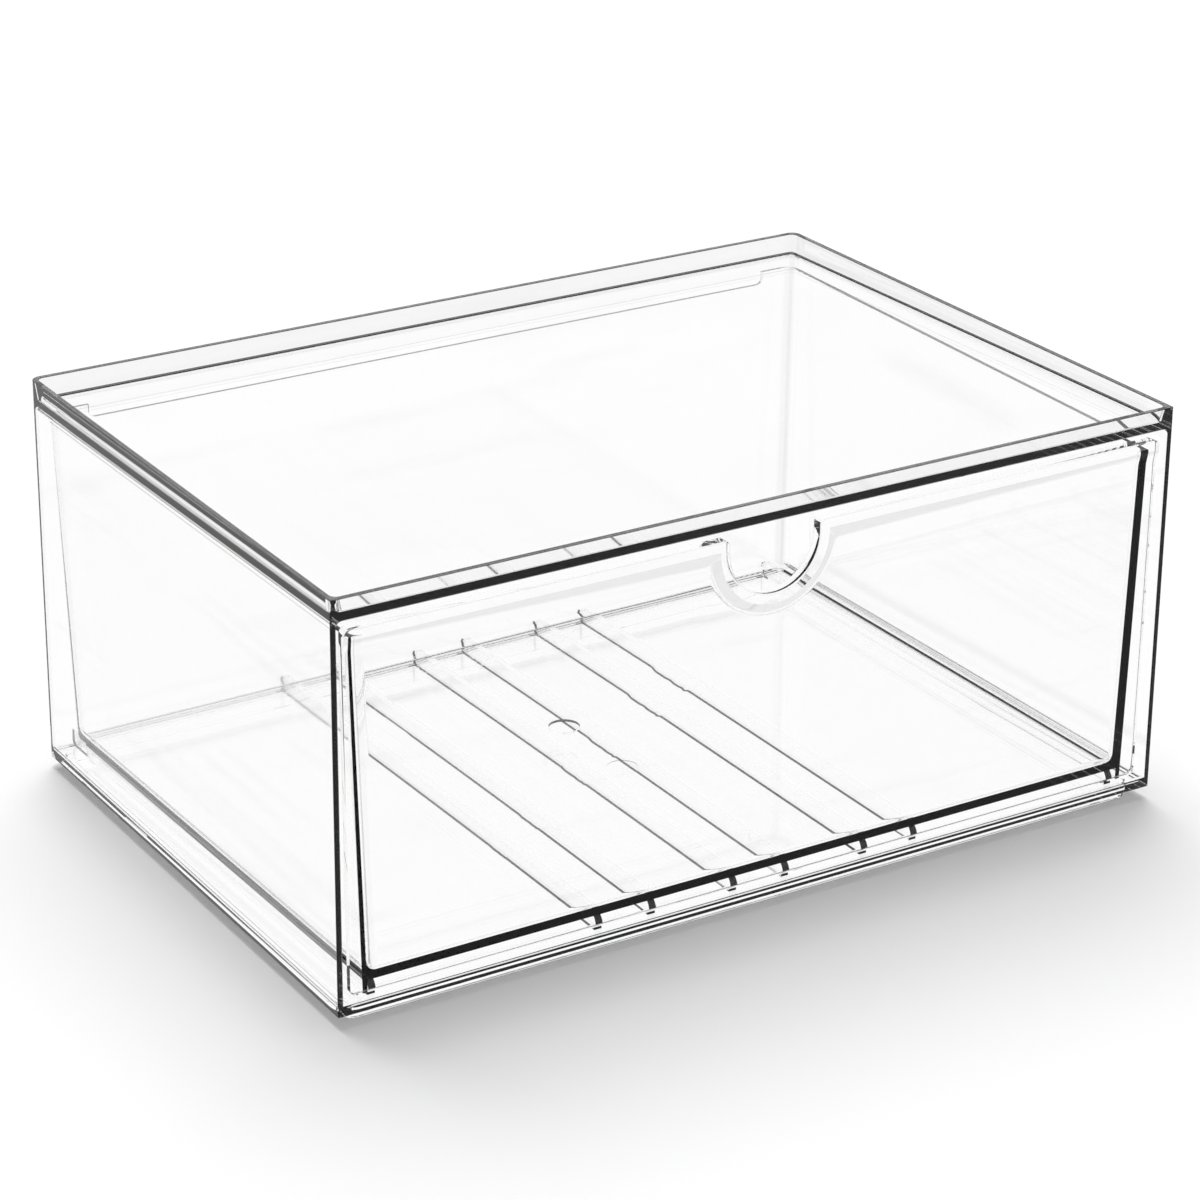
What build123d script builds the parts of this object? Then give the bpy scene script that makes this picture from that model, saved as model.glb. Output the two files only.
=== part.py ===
"""Clear stacking drawer unit: a moulded open-fronted case and the moulded drawer that slides in it.

Millimetres, +Z up, the drawer opens towards -Y. The origin is at the middle of the footprint, on the
surface that the stacking lip stands on.
"""
from build123d import *
import os
from math import radians, tan

# One overrun serves every cut that runs out through a face, and places within a hair count as the same.
overrun = 1.0
hair = 0.02

# The outer edges of both mouldings are just broken, so none of them cuts.
edge_radius = 0.4
foot_chamfer = 0.25

# Case: the foot is the lower edge of its walls, and a rim with leaning sides stands up round its top plate.
case_width = 270.0
case_depth = 186.0
case_height = 119.0
side_taper = 2.5
case_wall = 1.6
top_plate = 1.9
floor_plate = 2.0
rim_front = 4.5
rim_back = 6.0
rim_top_wall = 1.6
rim_draft_deg = 12.0
rim_edge_radius = 0.2
back_corner_radius = 3.0
front_corner_radius = 0.5
rim_corner_radius = 2.0
rim_foot_radius = 0.8
bay_corner_radius = 1.8

# Sill: the raised front edge of the case's floor.
sill_height = 1.1
sill_width = 1.8

# Stacking lip: a ring under the floor that drops inside the rim of the unit below.
lip_height = 3.5
lip_inset = 3.7
lip_wall = 2.0
lip_corner_radius = 4.0

# Rails on the case floor, in pairs about the middle, each with a rounded nose for the drawer to ride on to.
rail_height = 5.1
rail_top_width = 2.1
rail_base_width = 2.4
rail_setback = 4.4
rail_nose_radius = 4.0
near_rail_place = 8.7
middle_rail_place = 35.4
far_rail_place = 52.6

# Drawer box: its walls lean outwards and thin towards the top, and their skirts straddle the outermost rails.
running_gap = 0.12
drawer_wall = 1.55
drawer_floor = 1.6
wall_draft_deg = 1.5
room_draft_deg = 1.75
drawer_side_clearance = 2.0
drawer_back_clearance = 2.5
drawer_corner_radius = 5.0
drawer_foot_radius = 2.0
inner_radius = 3.0
front_wall_drop = 3.2
back_wall_drop = 1.5
skirt_depth = 3.4
skirt_setback = 4.0
skirt_nose_radius = 2.5
guide_clearance = 0.5

# Shallow dip along the top of the drawer's back wall.
dip_depth = 4.0
dip_corner_width = 12.0
dip_radius = 2.0

# Front panel: a plate with a raised band along its top edge and round the finger notch.
panel_recess = 0.3
panel_plate = 2.0
panel_top_clearance = 2.8
panel_side_clearance = 2.4
panel_foot_clearance = 1.3
panel_taper = 0.6
panel_corner_radius = 2.0
band_rise = 1.5
band_flat = 3.0
band_slope = 4.0
notch_width = 29.0
notch_depth = 18.4
notch_lip_radius = 1.8

# Round moulding marks under the drawer's floor: the gate's well and a fainter ejector mark.
mark_diameter = 9.5
gate_well_depth = 0.8
ejector_mark_depth = 0.15
mark_spacing = 32.6

# Places worked out from the sizes above.
front_y = -case_depth / 2
back_y = case_depth / 2
bay_back_y = back_y - case_wall
foot_z = lip_height
rim_z = foot_z + case_height
floor_z = foot_z + floor_plate
sill_z = floor_z + sill_height
rail_z = floor_z + rail_height
drawer_z = rail_z + running_gap


def depth_share(y):
    """How far back a place lies, from 0 at the case's front to 1 at its back."""
    return (y - front_y) / case_depth


def case_half(y):
    """Half the case's outside width, which narrows towards the back."""
    return case_width / 2 - side_taper * depth_share(y)


def plate_z(y):
    """Upper face of the top plate, which falls towards the back inside a level rim."""
    return rim_z - rim_front - (rim_back - rim_front) * depth_share(y)


def ceiling_z(y):
    """Under face of the top plate."""
    return plate_z(y) - top_plate


def plan_corners(inset, near, far):
    """The case's plan between two depths, drawn in at both sides, anticlockwise from the front left."""
    near_half = case_half(near) - inset
    far_half = case_half(far) - inset
    return [(-near_half, near), (near_half, near), (far_half, far), (-far_half, far)]


def plan(inset):
    """The case's plan, drawn in by the same amount on every side."""
    return make_face(Polyline(*plan_corners(inset, front_y + inset, back_y - inset), close=True))


def upright(y, z=0):
    """The plane across the case at a depth, seen from the front: X to the right, Z up."""
    return Plane(origin=(0, y, z), x_dir=(1, 0, 0), z_dir=(0, -1, 0))


def box_between(low, high):
    """A box from its lowest corner to its highest."""
    size = [b - a for a, b in zip(low, high)]
    middle = [(a + b) / 2 for a, b in zip(low, high)]
    return Pos(*middle) * Box(*size)


def along_x(outline, half):
    """A section drawn as (depth, height) points, carried from the middle to both sides."""
    return extrude(Plane.YZ * make_face(Polyline(*outline, close=True)), half, both=True)


def along_y(outline, near, far):
    """A section drawn as (across, height) points, carried from one depth to another."""
    return extrude(upright(far) * make_face(Polyline(*outline, close=True)), far - near)


def below(height):
    """All that lies below a height that slopes from front to back."""
    near = front_y - overrun
    far = back_y + overrun
    low = -overrun
    return along_x([(near, low), (far, low), (far, height(far)), (near, height(near))], case_width)


def rim_recess():
    """The tray that the rim encloses, with leaning sides, a sloping bottom and rounded corners."""
    tray = box_between((-case_width, front_y, foot_z), (case_width, back_y, rim_z)) - below(plate_z)
    corners = plan_corners(rim_top_wall, front_y + rim_top_wall, back_y - rim_top_wall)
    for start, end in zip(corners, corners[1:] + corners[:1]):
        along = Vector(end[0] - start[0], end[1] - start[1]).normalized()
        inward = Vector(-along.Y, along.X, tan(radians(rim_draft_deg)))
        side = Plane(origin=(*start, rim_z), x_dir=along, z_dir=inward)
        tray = split(tray, bisect_by=side, keep=Keep.TOP)
    uprights = [edge for edge in tray.edges() if edge.bounding_box().size.Z > rim_front / 2]
    tray = fillet(uprights, rim_corner_radius)
    return fillet(tray.faces().sort_by(Axis.Z)[0].edges(), rim_foot_radius)


def bay():
    """The room for the drawer, open at the front, narrowing with the case and rounded inside."""
    corners = plan_corners(case_wall, front_y - overrun, bay_back_y)
    room = Pos(0, 0, floor_z) * extrude(make_face(Polyline(*corners, close=True)), case_height)
    room &= below(ceiling_z)
    closed = [edge for edge in room.edges() if edge.center().Y > front_y]
    return fillet(closed, bay_corner_radius)


def sill():
    """The raised front edge of the floor, rounded along its top."""
    far = front_y + sill_width
    low = floor_z - floor_plate / 2
    outline = [(front_y, low), (far, low), (far, sill_z), (front_y, sill_z)]
    bar = along_x(outline, case_half(far) - case_wall / 2)
    return fillet(bar.faces().sort_by(Axis.Z)[-1].edges().filter_by(Axis.X), edge_radius)


def rail(x):
    """One rail from its rounded nose to the back wall, rooted in the floor."""
    base = rail_base_width / 2
    top = rail_top_width / 2
    near = front_y + rail_setback
    far = bay_back_y + case_wall / 2
    bar = along_y([(x - base, floor_z), (x + base, floor_z), (x + top, rail_z), (x - top, rail_z)], near, far)
    nose = bar.faces().sort_by(Axis.Y)[0].edges().sort_by(Axis.Z)[-1]
    bar = fillet(nose, rail_nose_radius)
    return bar + box_between((x - base, near, floor_z - floor_plate / 2), (x + base, far, floor_z))


def stacking_lip():
    """The ring under the floor, with a chamfered foot."""
    outer = fillet(plan(lip_inset).vertices(), lip_corner_radius)
    inner = fillet(plan(lip_inset + lip_wall).vertices(), lip_corner_radius - lip_wall)
    ring = extrude(outer - inner, foot_z + floor_plate / 2)
    return chamfer(ring.faces().sort_by(Axis.Z)[0].edges(), foot_chamfer)


def drawer_half(z):
    """Half the drawer's outside width at a height, kept clear of the bay at its narrow end."""
    widest = case_half(bay_back_y) - case_wall - drawer_side_clearance
    return widest - tan(radians(wall_draft_deg)) * (ceiling_z(front_y) - z)


def drawer_back(z):
    """Outer face of the drawer's back wall at a height."""
    return bay_back_y - drawer_back_clearance - tan(radians(wall_draft_deg)) * (ceiling_z(front_y) - z)


def make_case():
    shell = Pos(0, 0, foot_z) * extrude(plan(0), case_height)
    shell = fillet(shell.edges().filter_by(Axis.Z).group_by(Axis.Y)[-1], back_corner_radius)
    shell = fillet(shell.edges().filter_by(Axis.Z).group_by(Axis.Y)[0], front_corner_radius)
    shell = chamfer(shell.faces().sort_by(Axis.Z)[0].edges(), foot_chamfer)
    shell -= rim_recess()
    shell = fillet(shell.faces().sort_by(Axis.Z)[-1].edges(), rim_edge_radius)
    shell -= bay()
    mouth = shell.faces().sort_by(Axis.Y)[0].inner_wires()[0]
    shell = fillet(mouth.edges(), edge_radius)
    shell += sill()
    guide_place = drawer_half(drawer_z) - drawer_wall - guide_clearance - rail_base_width / 2
    for place in (near_rail_place, middle_rail_place, far_rail_place, guide_place):
        for x in (-place, place):
            shell += rail(x)
    return shell + stacking_lip()


# The front panel's faces, from the band's face at the front to the plate's back.
band_y = front_y + panel_recess
plate_y = band_y + band_rise
panel_back_y = plate_y + panel_plate
panel_top_z = ceiling_z(front_y) - panel_top_clearance
panel_foot_z = sill_z + panel_foot_clearance
notch_radius = notch_width / 2
notch_middle_z = panel_top_z - notch_depth + notch_radius


def wall_top_z(y):
    """Top edge of the drawer's walls, which rises from the panel to the back."""
    return panel_top_z - front_wall_drop + (front_wall_drop - back_wall_drop) * depth_share(y)


dip_z = wall_top_z(bay_back_y) - dip_depth


def panel_prism(near, far):
    """The panel's rounded outline between two places in depth."""
    wide = case_half(front_y) - case_wall - panel_side_clearance
    narrow = wide - panel_taper
    outline = [(-narrow, panel_foot_z), (narrow, panel_foot_z), (wide, panel_top_z), (-wide, panel_top_z)]
    face = fillet(make_face(Polyline(*outline, close=True)).vertices(), panel_corner_radius)
    return extrude(upright(far) * face, far - near)


def band_outline(flat):
    """The band across its width, as (depth, distance) points: a flat face, then a slope down to the plate."""
    seat = plate_y + panel_plate / 2
    foot = flat + band_slope
    return [(seat, 0), (band_y, 0), (band_y, flat), (plate_y, foot), (seat, foot)]


def front_panel():
    """The plate with its raised band: a strip along the top, mitred into a disc where the notch will be."""
    strip = along_x([(y, panel_top_z - fall) for y, fall in band_outline(band_flat)], case_width / 2)
    section = [(reach, y, notch_middle_z) for y, reach in band_outline(notch_radius + band_flat)]
    disc = revolve(make_face(Polyline(*section, close=True)), Axis((0, 0, notch_middle_z), (0, 1, 0)))
    band = (strip + disc) & panel_prism(band_y, panel_back_y)
    return panel_prism(plate_y, panel_back_y) + band


def finger_notch():
    """The U-shaped notch in the middle of the panel's top edge."""
    shaft_height = panel_top_z + overrun - notch_middle_z
    notch = Pos(0, notch_middle_z) * Circle(notch_radius)
    notch += Pos(0, notch_middle_z + shaft_height / 2) * Rectangle(notch_width, shaft_height)
    near = band_y - overrun
    far = panel_back_y + overrun
    return extrude(upright(far) * notch, far - near)


def leaning_block(inset, lean_deg, low, near):
    """The drawer's box from the rim's level down to a height, leaning in at both sides and at the back."""
    lean = tan(radians(lean_deg)) * (rim_z - low)
    half = drawer_half(rim_z) - inset
    far = drawer_back(rim_z) - inset
    block = along_y([(-half, rim_z), (half, rim_z), (half - lean, low), (lean - half, low)], near, back_y)
    return block & along_x([(near, rim_z), (far, rim_z), (far - lean, low), (near, low)], case_width)


def drawer_shell():
    """Outside of the drawer's box, with rounded corners at the back and along its foot."""
    block = leaning_block(0, wall_draft_deg, drawer_z, panel_back_y - panel_plate / 2)
    uprights = block.edges().filter_by_position(Axis.Z, drawer_z + overrun, rim_z - overrun)
    block = fillet(uprights.group_by(Axis.Y)[-1], drawer_corner_radius)
    foot_edges = block.faces().sort_by(Axis.Z)[0].edges().sort_by(Axis.Y)
    block = fillet(foot_edges[1:], drawer_foot_radius)
    return block & below(wall_top_z)


def drawer_room():
    """The hollow of the drawer, rounded along its floor and up its corners."""
    room = leaning_block(drawer_wall, room_draft_deg, drawer_z + drawer_floor, panel_back_y)
    closed = [edge for edge in room.edges() if edge.center().Z < rim_z - overrun]
    return fillet(closed, inner_radius)


def back_dip():
    """The shallow dip along the back wall's top edge."""
    half = drawer_half(dip_z) - dip_corner_width
    outline = [(-half, dip_z), (half, dip_z), (half, rim_z), (-half, rim_z)]
    near = drawer_back(drawer_z) - inner_radius - drawer_corner_radius
    cutter = along_y(outline, near, back_y)
    return fillet(cutter.edges().filter_by(Axis.Y).group_by(Axis.Z)[0], dip_radius)


def skirt(side):
    """A drawer wall carried on below the floor, outside the outermost rail, with a rounded back end."""
    low = drawer_z - skirt_depth
    high = drawer_z + drawer_floor
    inner = drawer_half(drawer_z) - drawer_wall
    outline = [(inner, low), (drawer_half(low), low), (drawer_half(high), high), (inner, high)]
    far = drawer_back(drawer_z) - drawer_corner_radius - skirt_setback
    bar = along_y([(side * x, z) for x, z in outline][::side], panel_back_y, far)
    return fillet(bar.faces().sort_by(Axis.Y)[-1].edges().sort_by(Axis.Z)[0], skirt_nose_radius)


def panel_back_edges(drawer):
    """Edges of the panel's back along its top and round the notch."""
    level = drawer.edges().filter_by_position(Axis.Y, panel_back_y - hair, panel_back_y + hair)
    level = level.filter_by_position(Axis.Z, notch_middle_z - notch_width, rim_z)
    high = panel_top_z - panel_corner_radius
    return [edge for edge in level if edge.center().Z > high or abs(edge.center().X) < notch_width]


def wall_top_edges(drawer):
    """Edges along the walls' tops and the dip, leaving out the ones that lie square across a wall."""
    behind = drawer.edges().filter_by_position(Axis.Y, panel_back_y + hair, back_y)
    high = behind.filter_by_position(Axis.Z, dip_z - hair, rim_z)
    return [edge for edge in high if edge.bounding_box().size.X > hair]


def floor_mark(y, depth):
    """A round mark sunk in the underside of the drawer's floor."""
    return Pos(0, y, drawer_z + depth / 2) * Cylinder(mark_diameter / 2, depth)


def make_drawer():
    drawer = drawer_shell()
    drawer -= drawer_room()
    drawer -= back_dip()
    drawer = fillet(wall_top_edges(drawer), edge_radius)
    drawer += front_panel()
    drawer -= finger_notch()
    across = drawer.edges().filter_by(Axis.Y)
    notch_lips = across.filter_by_position(Axis.X, -notch_width, notch_width).group_by(Axis.Z)[-1]
    drawer = fillet(notch_lips, notch_lip_radius)
    drawer = fillet(drawer.faces().sort_by(Axis.Y)[0].edges(), edge_radius)
    drawer = fillet(panel_back_edges(drawer), edge_radius)
    drawer += skirt(-1)
    drawer += skirt(1)
    drawer -= floor_mark(mark_spacing / 2, gate_well_depth)
    return drawer - floor_mark(-mark_spacing / 2, ejector_mark_depth)


os.makedirs("parts", exist_ok=True)
export_step(make_case(), "parts/case.step")
export_step(make_drawer(), "parts/drawer.step")
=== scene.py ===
import math

import bmesh
import bpy
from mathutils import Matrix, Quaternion, Vector


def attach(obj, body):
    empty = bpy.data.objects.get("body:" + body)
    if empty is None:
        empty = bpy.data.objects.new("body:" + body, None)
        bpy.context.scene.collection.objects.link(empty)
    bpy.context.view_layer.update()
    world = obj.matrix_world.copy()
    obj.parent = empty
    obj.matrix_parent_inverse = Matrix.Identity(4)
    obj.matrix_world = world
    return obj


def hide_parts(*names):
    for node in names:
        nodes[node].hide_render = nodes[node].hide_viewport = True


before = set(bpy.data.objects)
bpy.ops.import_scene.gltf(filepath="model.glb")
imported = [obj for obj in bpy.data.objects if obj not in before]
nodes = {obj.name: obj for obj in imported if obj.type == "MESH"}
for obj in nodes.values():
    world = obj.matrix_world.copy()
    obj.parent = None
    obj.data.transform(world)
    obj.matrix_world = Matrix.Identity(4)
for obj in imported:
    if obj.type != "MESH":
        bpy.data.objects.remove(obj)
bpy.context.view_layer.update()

scene = bpy.context.scene

# Places on the CAD, in metres.
rim_top = 0.1225
plate_middle = 0.11725
plate_fall = 0.0015 / 0.186
rim_foot_radius = 0.0008
front_rim_inside = -0.088
band_foot = -0.0906

# Colours.
white = (1.0, 1.0, 1.0, 1.0)
black = (0.0, 0.0, 0.0, 1.0)
paper_white = (0.9, 0.9, 0.9, 1.0)
water_clear = (0.999, 0.999, 0.999, 1.0)
smeared = (0.96, 0.96, 0.96, 1.0)
# Near-black used for painted shade lines on the plastic.
painted_shade_colour = (0.03, 0.03, 0.03, 1.0)
dimmed = (0.4, 0.4, 0.4, 1.0)

# How strongly the plastic bends light.
case_bend = 1.57
drawer_bend = 1.38


class Value:
    """A shader socket that takes part in Python sums."""

    def __init__(self, socket):
        self.socket = socket

    def math(self, operation, other, turned=False):
        tree = self.socket.id_data
        node = tree.nodes.new("ShaderNodeMath")
        node.operation = operation
        for place, term in enumerate((other, self) if turned else (self, other)):
            if isinstance(term, Value):
                tree.links.new(term.socket, node.inputs[place])
            else:
                node.inputs[place].default_value = term
        return Value(node.outputs[0])

    def __add__(self, other):
        return self.math("ADD", other)

    def __radd__(self, other):
        return self.math("ADD", other, True)

    def __sub__(self, other):
        return self.math("SUBTRACT", other)

    def __rsub__(self, other):
        return self.math("SUBTRACT", other, True)

    def __mul__(self, other):
        return self.math("MULTIPLY", other)

    def __rmul__(self, other):
        return self.math("MULTIPLY", other, True)

    def __pow__(self, other):
        return self.math("POWER", other)

    def most(self, other):
        return self.math("MAXIMUM", other)


class Bench:
    """One node tree, emptied, with a single way to add a node to it."""

    def __init__(self, tree):
        self.tree = tree
        tree.nodes.clear()

    def add(self, kind, settings=None, **sockets):
        """A new node's outputs; a socket is given by its name, or by its number after an underscore."""
        node = self.tree.nodes.new(kind)
        for name, setting in (settings or {}).items():
            setattr(node, name, setting)
        for name, value in sockets.items():
            socket = node.inputs[int(name[1:]) if name[1:].isdigit() else name.replace("_", " ")]
            if isinstance(value, Value):
                self.tree.links.new(value.socket, socket)
            else:
                socket.default_value = value
        by_identifier = {o.identifier: Value(o) for o in node.outputs}
        return by_identifier | {o.name: Value(o) for o in node.outputs if o.enabled}


def between(b, value, start, stop):
    """0 before start, 1 past stop and a smooth step from one to the other."""
    step = {"interpolation_type": "SMOOTHSTEP"}
    return b.add("ShaderNodeMapRange", step, Value=value, From_Min=start, From_Max=stop)["Result"]


def mixed(b, share, one, other):
    """One colour turning into another."""
    return b.add("ShaderNodeMix", {"data_type": "RGBA"}, _0=share, _6=one, _7=other)["Result_Color"]


def rim_painted_shade(b, axes, facing):
    """Painted shade: the rim's level top and the round at its foot are painted dark, and its faces a little
    grey, where the clear plastic looks dark.
    """
    # Painted shade: a dark line on the rim's level top.
    top = between(b, axes["Z"], rim_top - 0.0003, rim_top - 0.00015)
    above_plate = axes["Z"] - (plate_middle - axes["Y"] * plate_fall)
    faces = between(b, above_plate, 0.00003, 0.00006)
    # Painted shade: a dark line along the upward-facing round at the rim's foot.
    low_down = between(b, above_plate, rim_foot_radius + 0.0001, rim_foot_radius - 0.0001)
    foot = faces * low_down * between(b, facing["Z"], 0.24, 0.36)
    # Painted shade: a little grey on the rim faces behind the front rim.
    grey = 0.06 * faces * between(b, axes["Y"], front_rim_inside, front_rim_inside + 0.008)
    return grey.most(top).most(foot)


def band_painted_shade(b, axes, facing):
    """Painted shade: the slopes of the raised band on the drawer's front are painted a little grey."""
    # Painted shade: grey on the band's slopes, where the clear plastic looks darker.
    front = between(b, axes["Y"], band_foot, band_foot - 0.0002)
    off_flat = between(b, facing["Y"], -0.985, -0.95)
    off_sides = between(b, facing["Y"], -0.88, -0.91)
    return 0.3 * front * off_flat * off_sides


def clear_plastic(name, bend, painted_shade_places):
    """Water-clear moulded plastic with flow waves, handling haze, faint smears, and painted shade where the
    plastic looks dark.
    """
    material = bpy.data.materials.new(name)
    material.use_nodes = True
    b = Bench(material.node_tree)
    place = b.add("ShaderNodeTexCoord")["Object"]
    axes = b.add("ShaderNodeSeparateXYZ", Vector=place)
    facing = b.add("ShaderNodeSeparateXYZ", Vector=b.add("ShaderNodeNewGeometry")["Normal"])
    flow = b.add("ShaderNodeTexNoise", Vector=place, Scale=22.0, Detail=1.0)["Fac"]
    wave = b.add("ShaderNodeBump", Strength=0.01, Distance=0.0004, Height=flow)["Normal"]
    haze = b.add("ShaderNodeTexNoise", Vector=place, Scale=95.0, Detail=5.0, Roughness=0.6)["Fac"]
    streaks = b.add("ShaderNodeMapping", Vector=place, Scale=(11.0, 11.0, 130.0))["Vector"]
    wiped = b.add("ShaderNodeTexNoise", Vector=streaks, Scale=1.0, Detail=5.0)["Fac"]
    colour = mixed(b, between(b, wiped, 0.55, 0.78), water_clear, smeared)
    # Painted shade: the upright corner rounds, whose faces turn between the sides and the front or back, are
    # painted a little dark.
    cornering = facing["X"] * facing["X"] * facing["Y"] * facing["Y"]
    upright_painted_shade = 0.08 * between(b, cornering, 0.01, 0.15)
    # Painted shade: the given places and the upright rounds are mixed towards near-black in the colour.
    colour = mixed(b, painted_shade_places(b, axes, facing).most(upright_painted_shade), colour, painted_shade_colour)
    shader = b.add(
        "ShaderNodeBsdfPrincipled",
        Base_Color=colour,
        Roughness=0.012 + 0.03 * haze ** 3.0,
        IOR=bend,
        Transmission_Weight=1.0,
        Specular_Tint=dimmed,
        Normal=wave,
    )["BSDF"]
    depth = b.add("ShaderNodeVolumeAbsorption", Color=black, Density=1.5)["Volume"]
    b.add("ShaderNodeOutputMaterial", Surface=shader, Volume=depth)
    return material


def seam(edge):
    """Whether two faces meet in a true edge here, and not along a strip of a round."""
    bend = math.degrees(edge.calc_face_angle(0.0))
    breadth = min(2.0 * face.calc_area() / edge.calc_length() for face in edge.link_faces)
    return bend > 30.0 or (bend > 12.0 and breadth > 0.0025)


def put(name, data):
    """A new object in the scene, at the origin."""
    piece = bpy.data.objects.new(name, data)
    scene.collection.objects.link(piece)
    return piece


def moulding(node, material):
    """A copy of a CAD moulding that is smooth over its rounds and true on its flats."""
    bm = bmesh.new()
    bm.from_mesh(nodes[node].data)
    bmesh.ops.remove_doubles(bm, verts=bm.verts, dist=1e-6)
    for face in bm.faces:
        face.smooth = True
    for edge in bm.edges:
        edge.smooth = not seam(edge)
    mesh = bpy.data.meshes.new(node + "_moulding")
    bm.to_mesh(mesh)
    bm.free()
    mesh.materials.append(material)
    piece = put(node + "_moulding", mesh)
    weigh = piece.modifiers.new("true_flats", "WEIGHTED_NORMAL")
    weigh.weight = 90
    weigh.keep_sharp = True
    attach(piece, node)
    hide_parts(node)


def through_plastic(rays):
    """1 for what is seen in the plastic or through it."""
    return rays["Is Glossy Ray"].most(rays["Is Transmission Ray"])


def toward(azimuth, elevation):
    """Direction from the object to a place round it; azimuth 0 is in front and 90 at the right."""
    a, e = math.radians(azimuth), math.radians(elevation)
    return Vector((math.sin(a) * math.cos(e), -math.cos(a) * math.cos(e), math.sin(e)))


def aimed(direction):
    """The turn that points a lamp or a camera along a direction."""
    return direction.to_track_quat("-Z", "Y")


def sun(name, azimuth, elevation, strength, angle):
    """A soft lamp that lights the floor and isn't mirrored in the plastic."""
    lamp = bpy.data.lights.new(name, "SUN")
    lamp.energy = strength
    lamp.angle = math.radians(angle)
    piece = put(name, lamp)
    piece.visible_glossy = False
    piece.visible_transmission = False
    piece.rotation_mode = "QUATERNION"
    piece.rotation_quaternion = aimed(-toward(azimuth, elevation))


moulding("case", clear_plastic("case_clear", case_bend, rim_painted_shade))
moulding("drawer", clear_plastic("drawer_clear", drawer_bend, band_painted_shade))

# Floor: white paper that keeps the shadow, and plain white where it is seen through the plastic.
floor_mesh = bpy.data.meshes.new("floor")
bm = bmesh.new()
bmesh.ops.create_circle(bm, cap_ends=True, segments=96, radius=12.0)
bmesh.ops.translate(bm, verts=bm.verts, vec=(0.0, 0.0, -0.0002))
bm.to_mesh(floor_mesh)
bm.free()
floor = put("floor", floor_mesh)

paper = bpy.data.materials.new("white_sweep")
paper.use_nodes = True
b = Bench(paper.node_tree)
rays = b.add("ShaderNodeLightPath")
lit = b.add("ShaderNodeBsdfDiffuse", Color=paper_white)["BSDF"]
glow = b.add("ShaderNodeEmission", Color=white, Strength=1.0)["Emission"]
share = 0.15 * rays["Is Camera Ray"] + through_plastic(rays)
b.add("ShaderNodeOutputMaterial", Surface=b.add("ShaderNodeMixShader", _0=share, _1=lit, _2=glow)["Shader"])
floor_mesh.materials.append(paper)

# Room: white to the camera, white behind the object and dimmer in front of it to the plastic, low to the rest.
world = bpy.data.worlds.new("studio")
scene.world = world
world.use_nodes = True
b = Bench(world.node_tree)
rays = b.add("ShaderNodeLightPath")
camera_ray, through = rays["Is Camera Ray"], through_plastic(rays)
ahead = b.add("ShaderNodeSeparateXYZ", Vector=b.add("ShaderNodeTexCoord")["Generated"])["Y"]
backdrop = 0.55 + 0.45 * between(b, ahead, -0.7, -0.1)
level = camera_ray + through * backdrop + 0.35 * (1.0 - camera_ray.most(through))
room = b.add("ShaderNodeBackground", Color=white, Strength=level)["Background"]
b.add("ShaderNodeOutputWorld", Surface=room)

sun("back_light", 164.0, 62.0, 0.58 * math.pi, 44.0)
sun("top_light", 164.0, 86.0, 0.3 * math.pi, 20.0)

# Camera at the front left, as in the photo.
camera_data = bpy.data.cameras.new("camera")
camera_data.lens = 120.37
camera_data.sensor_width = 36.0
camera = put("camera", camera_data)
camera.location = (-0.56456, -0.90827, 0.51993)
camera.rotation_mode = "QUATERNION"
roll = Quaternion((0.0, 0.0, 1.0), math.radians(0.4655))
camera.rotation_quaternion = aimed(-toward(-31.98, 23.338)) @ roll
scene.camera = camera

bounces = 16
scene.view_settings.view_transform = "Standard"
scene.cycles.max_bounces = bounces
scene.cycles.transmission_bounces = bounces
scene.cycles.glossy_bounces = bounces
